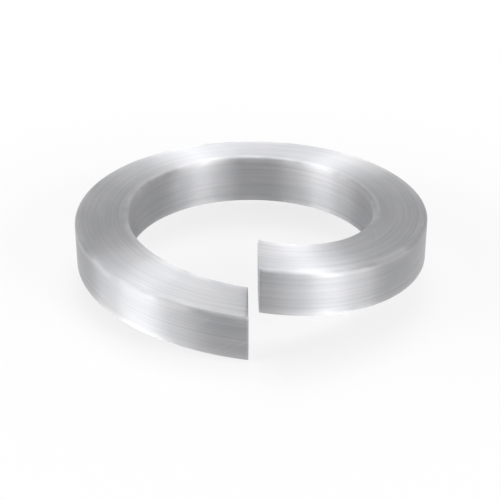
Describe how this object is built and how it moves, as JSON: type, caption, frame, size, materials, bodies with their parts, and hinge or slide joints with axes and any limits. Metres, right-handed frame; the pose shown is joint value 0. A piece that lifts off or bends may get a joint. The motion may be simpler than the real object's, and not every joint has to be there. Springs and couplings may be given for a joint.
{
  "type": "spring lock washer",
  "caption": "Split spring lock washer: one coil of near-square steel wire, cut once and set so that its ends stand apart along the bolt axis.",
  "frame": {"origin": "on the axis of the bolt hole, level with the lowest point of the lower cut end", "axes": "+Z along the axis of the bolt hole, up towards the bolt head or nut; the split faces -Y; the lower cut end is on the -X side of the split and the upper one on the +X side"},
  "size_m": [0.0176, 0.0176, 0.0051],
  "materials": {
    "bright_steel": "bright hardened spring steel, fine drawn lines along the wire, rolled long edges and sheared ends"
  },
  "bodies": {
    "root": {"lock_washer": "bright_steel"}
  },
  "joints": []
}
